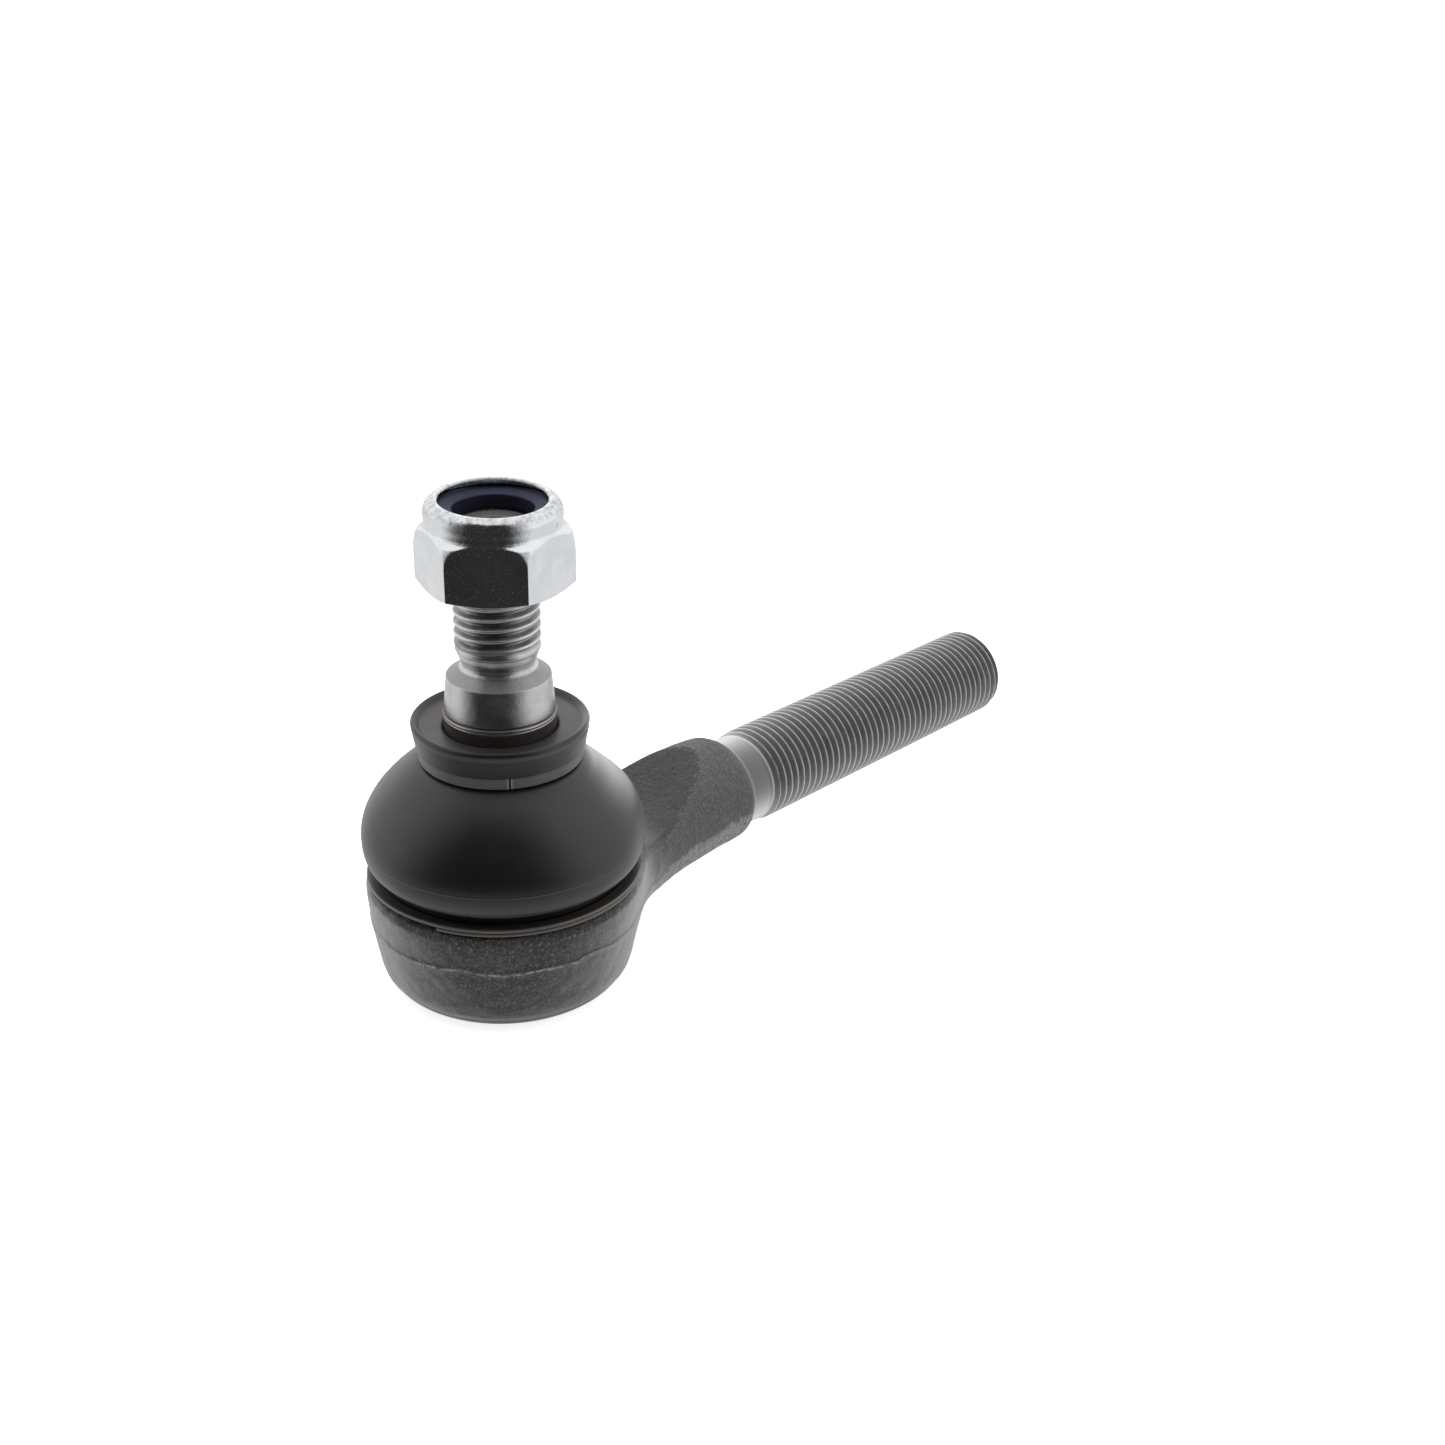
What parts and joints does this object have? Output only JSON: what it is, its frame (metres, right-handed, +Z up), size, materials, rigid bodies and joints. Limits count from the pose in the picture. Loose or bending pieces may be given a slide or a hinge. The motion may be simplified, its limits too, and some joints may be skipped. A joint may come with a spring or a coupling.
{
  "type": "tie rod end",
  "caption": "Outer steering ball joint: forged cup with threaded shank, tapered ball stud, rubber dust boot with clamp rings, and a nylon-insert lock nut.",
  "frame": {"origin": "centre of the closing plate's outer face, on the stud's axis, 11.75 mm below the centre of the ball", "axes": "+Z up the stud at rest, +X out along the threaded shank, +Y completes the right-handed frame"},
  "size_m": [0.1343, 0.0406, 0.0727],
  "materials": {
    "forged_steel": "matte dark forging skin",
    "turned_steel": "fine turned",
    "bearing_polymer": "moulded",
    "spring_steel": "oiled",
    "plate_steel": "stamped",
    "seal_rubber": "moulded",
    "boot_rubber": "satin moulded rubber",
    "ring_polymer": "satin",
    "ring_steel": "oiled flat wire",
    "zinc_plate": "bright zinc",
    "nylon": "satin"
  },
  "bodies": {
    "housing": {"housing": "forged_steel", "upper_bearing_shell": "bearing_polymer", "lower_bearing_shell": "bearing_polymer", "preload_spring": "spring_steel", "closing_plate": "plate_steel", "plate_seal": "seal_rubber", "boot_lower_ring": "ring_steel"},
    "boot": {"dust_boot": "boot_rubber"},
    "boot_collar": {"boot_upper_ring": "ring_polymer"},
    "stud": {"ball_stud": "turned_steel"},
    "insert": {"nylon_insert": "nylon"},
    "nut": {"lock_nut": "zinc_plate"}
  },
  "joints": [
    {"name": "stud_tilt_x", "type": "hinge", "parent": "housing", "child": "boot", "pos_m": [0, 0, 0.01175], "axis": [1, 0, 0], "range_deg": [-16, 16], "deforming": ["dust_boot"]},
    {"name": "stud_tilt_y", "type": "hinge", "parent": "boot", "child": "boot_collar", "pos_m": [0, 0, 0.01175], "axis": [0, 1, 0], "range_deg": [-16, 16]},
    {"name": "stud_spin", "type": "hinge", "parent": "boot_collar", "child": "stud", "pos_m": [0, 0, 0.01175], "axis": [0, 0, 1], "continuous": true},
    {"name": "nut_travel", "type": "slide", "parent": "stud", "child": "insert", "axis": [0, 0, 1], "range_m": [-0.009, 0.00825]},
    {"name": "nut_spin", "type": "hinge", "parent": "insert", "child": "nut", "pos_m": [0, 0, 0.0591], "axis": [0, 0, 1], "range_deg": [-2165, 1985]}
  ],
  "couplings": [
    {"joint": "nut_spin", "follows": "nut_travel", "rad_per_m": 4188.8}
  ]
}
